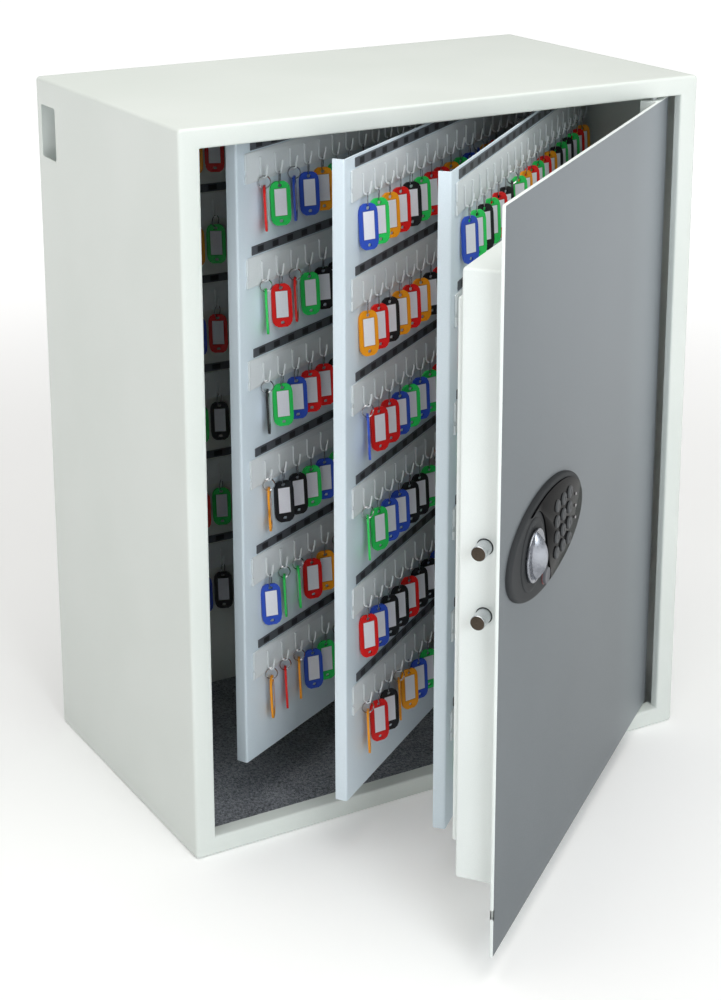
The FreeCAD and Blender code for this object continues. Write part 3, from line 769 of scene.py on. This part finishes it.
lock = {"centre": (-148.1, 388.0), "half": (113.0, 50.0), "panelHalf": (107.0, 44.5), "knob": (-198.0, 388.0),
        "keyX": (-126.4, -106.4, -86.4), "keyZ": (409.5, 394.0, 378.5, 363.0),
        "bite": ((-205.0, 425.8), (-197.0, 427.6), (-188.0, 426.6), (-179.0, 423.0), (-170.0, 415.6), (-163.0, 406.0),
                 (-158.4, 395.0), (-155.8, 383.0), (-153.2, 372.0), (-149.0, 363.6), (-145.8, 356.0),
                 (-144.4, 350.0), (-143.8, 343.7))}


def ovalPlate(centre, half, rows, sides=96):
    # an ellipse drawn in from its rim: rows of (inset, height), with the middle closed
    inset, height = (np.array(v, float)[:, None] for v in zip(*rows))
    angle = np.linspace(0, 2 * math.pi, sides, endpoint=False)[None]
    x = centre[0] + np.maximum(half[0] - inset, 0) * np.cos(angle)
    z = centre[1] + np.maximum(half[1] - inset * (half[1] / half[0] if inset.max() > half[1] else 1), 0) * np.sin(angle)
    return np.stack([x, front - height + 0 * x, z], -1)


cx, cz = lock["centre"]
plateRows = [(0.0, 0.0), (0.0, 1.8), (0.25, 2.9), (0.9, 3.9), (2.0, 4.6), (3.6, 4.95), (5.6, 5.0)]
plateGrid = ovalPlate(lock["centre"], lock["half"], plateRows)
middleRow = np.broadcast_to(np.array([cx, front - 5.0, cz]), plateGrid[:1].shape)
baseRow = np.broadcast_to(np.array([cx, front, cz]), plateGrid[:1].shape)
plate = sheetOf(np.concatenate([baseRow, plateGrid, middleRow]), wrapV=True)
addPiece("lock_plate", [onDoor(plate)], "door", [lockMatt], ["lock_escutcheon"])


def panelOutline(c):
    # the inner ellipse from its top left round to its low middle, closed by a soft line that passes right of the knob
    a, b = c["panelHalf"]
    x0, z0 = c["centre"]
    start, end = math.acos((c["bite"][0][0] - x0) / a), -math.acos((c["bite"][-1][0] - x0) / a)
    angle = np.linspace(start, end, 90)
    oval = np.stack([x0 + a * np.cos(angle), z0 + b * np.sin(angle)], -1)
    line = np.array(c["bite"][::-1], float)[1:-1]
    t, steps = np.arange(len(line)), np.linspace(0, len(line) - 1, 40)
    curve = np.stack([np.polyval(np.polyfit(t, line[:, k], 5), steps) for k in (0, 1)], -1)
    return np.concatenate([oval, curve])


panelGrid = carryUp(panelOutline(lock), [0, 1.0, 1.35, 1.5], [0.0, 0.0, 0.12, 0.45])
panelGrid = np.stack([panelGrid[..., 0], front - 5.0 - panelGrid[..., 2], panelGrid[..., 1]], -1)
panel = sheetOf(panelGrid, wrapV=True, caps=(0, -1))
wells = []
for x in lock["keyX"]:
    for z in lock["keyZ"]:
        rows = [(5.8, -6.2), (5.8, -6.54), (6.1, -6.62), (6.5, -6.58), (6.7, -6.4), (6.6, -6.2)]
        wells.append(sheetOf(lathe((x, front, z), rows, 28), True, True, finish=1))
keypadParts = [onDoor(p) for p in [panel] + wells]
addPiece("keypad_cover", keypadParts, "door", [lockGloss, wellDark], ["keypad_panel"])

kx, kz = lock["knob"]
collarRows = [(0, -4.9), (34.0, -4.9), (34.0, -5.4), (33.4, -5.9), (32.0, -6.15), (28.2, -6.2), (27.5, -5.8),
              (26.4, -5.8), (25.9, -6.2), (0, -6.2)]
collar = onDoor(sheetOf(lathe((kx, front, kz), collarRows, 72), wrapV=True))
addPiece("knob_surround", [collar], "door", [lockMatt], ["knob_collar"])

knobShape = {"radius": 25.0, "foot": 6.5, "face": 9.5, "gripLength": 23.4, "gripWidth": 9.5, "bow": 31.5,
             "bowCentre": 12.0, "crest": 0.16}


def knobPatches(c):
    # disc: turned profile with a rolled rim and a shallow dish
    # grip: a leaf outline, width times (1 - u squared) to the 0.85, under a bow, the root of bow squared - z squared
    r, f = c["radius"], c["face"]
    low = -c["foot"]
    rows = [(0, low), (r - 0.8, low), (r - 0.2, low - 0.3), (r, low - 0.8), (r, -f + 0.8), (r - 0.2, -f + 0.3),
            (r - 0.7, -f), (r - 1.8, -f), (r - 2.1, -f + 0.25), (r - 6.0, -f + 1.3), (r - 12.0, -f + 1.8),
            (0, -f + 1.9)]
    disc = sheetOf(lathe((kx, front, kz), rows, 80), wrapV=True)
    u = np.sin(np.linspace(-math.pi / 2, math.pi / 2, 45))[:, None]
    width = c["gripWidth"] * np.clip(1 - u ** 2, 0, 1) ** 0.85
    top = np.sqrt(c["bow"] ** 2 - (c["gripLength"] * u) ** 2) - c["bowCentre"]
    # across the grip: foot, hollow flank up to a crisp edge, faintly hollow crest, and the same down the other side
    half = np.array([0.08, 0.16, 0.22, 0.3, 0.42, 0.55, 0.7, 0.86, 1.0])
    a = np.concatenate([-half[::-1], [0.0], half])[None]
    flank = np.clip((1 - np.abs(a)) / (1 - c["crest"]), 0, 1) ** 1.7
    foot = f - 2.2
    level = foot + np.maximum(top - foot, 0.0) * flank - 0.35 * np.clip(1 - (a / c["crest"]) ** 2, 0, 1) * (1 - u ** 2)
    x, z = kx + a * width, kz + c["gripLength"] * u + 0 * a
    grip = np.stack([x, front - level, z], -1)
    return [disc, sheetOf(grip), sheetOf(grip[:, [0, -1]])]


knobParts = [onDoor(p) for p in knobPatches(knobShape)]
addPiece("turning_knob", knobParts, "knob", [knobMetal], ["knob"], sharp=28.0)

keyRows = [(0, -3.2), (5.5, -3.2), (5.95, -3.6), (6.0, -7.2), (5.85, -7.75), (5.4, -8.1), (4.7, -8.27), (3.4, -8.2),
           (0, -8.05)]
digits = ("1", "2", "3", "4", "5", "6", "7", "8", "9", "*", "0", "#")


def digitPatch(text, x, z, height):
    # a numeral from the plain built-in face, flattened to a thin raised mark
    curve = bpy.data.curves.new("numeral", "FONT")
    curve.body, curve.size, curve.align_x, curve.align_y = text, 6.4, "CENTER", "CENTER"
    curve.extrude, curve.resolution_u = 0.06, 3
    holder = bpy.data.objects.new("numeral", curve)
    bpy.context.scene.collection.objects.link(holder)
    mesh = bpy.data.meshes.new_from_object(holder)
    co = np.empty(len(mesh.vertices) * 3)
    mesh.vertices.foreach_get("co", co)
    co = co.reshape(-1, 3)
    faces = [list(p.vertices) for p in mesh.polygons]
    bpy.data.objects.remove(holder)
    bpy.data.curves.remove(curve)
    bpy.data.meshes.remove(mesh)
    points = np.stack([co[:, 0] + x, front - height - co[:, 2], co[:, 1] + z], -1)
    return {"points": points, "faces": faces, "uv": points[:, [0, 2]], "tint": np.ones((len(points), 4)), "finish": 1}


number = 0
for z in lock["keyZ"]:
    for x in lock["keyX"]:
        number += 1
        name = "key_button_%02d" % number
        cap = sheetOf(lathe((x, front, z), keyRows, 32), wrapV=True)
        parts = [cap, digitPatch(digits[number - 1], x, z - 0.1, 8.22)]
        addPiece(name + "_fine", [onDoor(p) for p in parts], name, [keyPlastic, markPaint], [name])

capRows = [(0, -4.8), (8.0, -4.8), (8.0, -7.8), (7.7, -8.3), (7.0, -8.5), (6.2, -8.4), (5.6, -8.2), (0, -8.1)]
trimRows = [(7.9, -4.8), (7.9, -5.5), (8.6, -5.5), (8.9, -5.2), (8.9, -4.8)]
capMiddle = (-158.3, front, 353.0)
capParts = [onDoor(sheetOf(lathe(capMiddle, capRows, 40), wrapV=True)),
            onDoor(sheetOf(lathe(capMiddle, trimRows, 40), True, True, finish=1))]
addPiece("override_cap_fine", capParts, "door", [capPlastic, capTrim], ["override_cap"])
lampRows = [(0, -6.4), (1.6, -6.4), (1.6, -6.9), (1.3, -7.2), (0.7, -7.3), (0, -7.3)]
lamps = [onDoor(sheetOf(lathe((-65.0, front, z), lampRows, 20), wrapV=True)) for z in (376.0, 388.0, 400.0)]
addPiece("status_lamps", lamps, "door", [lampLens], ["status_lights"])

boltRows = [(0, 0.0), (5.6, 0.0), (6.3, 0.25), (6.85, 0.8), (7.0, 1.4), (7.0, 58.4), (0, 58.4)]
boltTip = -276.4
for name, z in zip(("bolt_lower", "bolt_upper"), tray["bolts"]):
    grid = lathe((boltTip, front + tray["boltBehind"], z), boltRows, 48, "x")
    uv = np.stack([grid[..., 0] - boltTip, grid[..., 2]], -1)
    bolt = onDoor(sheetOf(grid, wrapV=True, uv=uv[None]))
    addPiece(name + "_fine", [bolt], "boltwork", [boltMetal], [name])
print("lock made")


kept = {"back_panel": bodyPaint, "deposit_chute": whitePaint, "hinge_pin_upper": zincSteel,
        "hinge_pin_lower": zincSteel, "leaf_bracket_upper": leafPaint, "leaf_bracket_lower": leafPaint,
        "hinge_bush_upper": whitePaint, "hinge_bush_lower": whitePaint, "knob_bushing": zincSteel,
        "knob_spindle": zincSteel, "drive_crank": zincSteel, "bolt_carrier": zincSteel,
        "bolt_guides": darkPlastic, "lock_case": zincSteel, "battery_case": darkPlastic}
for name, finish in kept.items():
    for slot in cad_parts[name].material_slots:
        slot.material = finish


stage = {"floorHalf": 60.0, "glowNear": 0.12, "glowFar": 0.78, "worldLevel": 0.32}


def stageFloor(c):
    h = c["floorHalf"]
    mesh = bpy.data.meshes.new("studio_floor")
    mesh.from_pydata([(x, y, -0.0005) for x, y in ((-h, -h), (h, -h), (h, h), (-h, h))], [], [(0, 1, 2, 3)])
    piece = bpy.data.objects.new("studio_floor", mesh)
    bpy.context.scene.collection.objects.link(piece)

    def paleFloor(w):
        # white board that is lit evenly from below further out, so it stays pale to its edge
        x, y, _ = w.axes(w.spot())
        away = ((x * x + y * y) ** 0.5).ramp(0.7, 3.0)
        near, far = (c["glowNear"],) * 3 + (1.0,), (c["glowFar"],) * 3 + (1.0,)
        return {"Base Color": w.noise(2.0).mix(tone(247, 247, 247), tone(250, 250, 250)),
                "Emission Color": away.mix(near, far)}

    finish = newFinish("pale_floor", paleFloor, roughness=0.7, specular=0.2)
    finish.node_tree.nodes["Principled BSDF"].inputs["Emission Strength"].default_value = 1.0
    mesh.materials.append(finish)


stageFloor(stage)
world = bpy.data.worlds.new("studio")
bpy.context.scene.world = world
world.use_nodes = True
world.node_tree.nodes["Background"].inputs["Color"].default_value = (1.0, 1.0, 1.0, 1.0)
world.node_tree.nodes["Background"].inputs["Strength"].default_value = stage["worldLevel"]


def addLight(name, place, target, size, power, colour):
    lamp = bpy.data.lights.new(name, "AREA")
    lamp.shape, lamp.size, lamp.size_y = "RECTANGLE", size[0], size[1]
    lamp.energy, lamp.color = power, colour
    holder = bpy.data.objects.new(name, lamp)
    bpy.context.scene.collection.objects.link(holder)
    holder.location = place
    direction = np.array(target, float) - np.array(place, float)
    yaw = math.atan2(-direction[0], direction[1])
    pitch = math.atan2(direction[2], math.hypot(direction[0], direction[1]))
    holder.rotation_euler = (math.pi / 2 + pitch, 0.0, yaw)


addLight("front_softbox", (-0.35, -3.1, 1.5), (-0.05, 0.0, 0.4), (1.2, 1.2), 32.0, (0.92, 0.97, 1.0))
addLight("top_softbox", (-0.2, -0.6, 2.9), (0.0, -0.1, 0.0), (2.6, 2.6), 57.0, (1.0, 0.99, 0.95))
addLight("left_softbox", (-3.0, 0.1, 1.3), (-0.3, 0.0, 0.4), (1.4, 1.4), 4.0, (1.0, 0.97, 0.92))

cameraView = {"place": (-1.092, -1.868, 1.107), "yaw": 30.14, "pitch": -15.58, "roll": 0.10, "lens": 74.3,
              "shiftUp": -0.2}
camera = bpy.data.objects.new("camera", bpy.data.cameras.new("camera"))
bpy.context.scene.collection.objects.link(camera)
camera.location = cameraView["place"]
camera.rotation_euler = np.radians((90 + cameraView["pitch"], cameraView["roll"], -cameraView["yaw"]))
camera.data.lens, camera.data.shift_y = cameraView["lens"], cameraView["shiftUp"]
bpy.context.scene.camera = camera
bpy.context.scene.view_settings.view_transform = "Standard"
print("stage made")
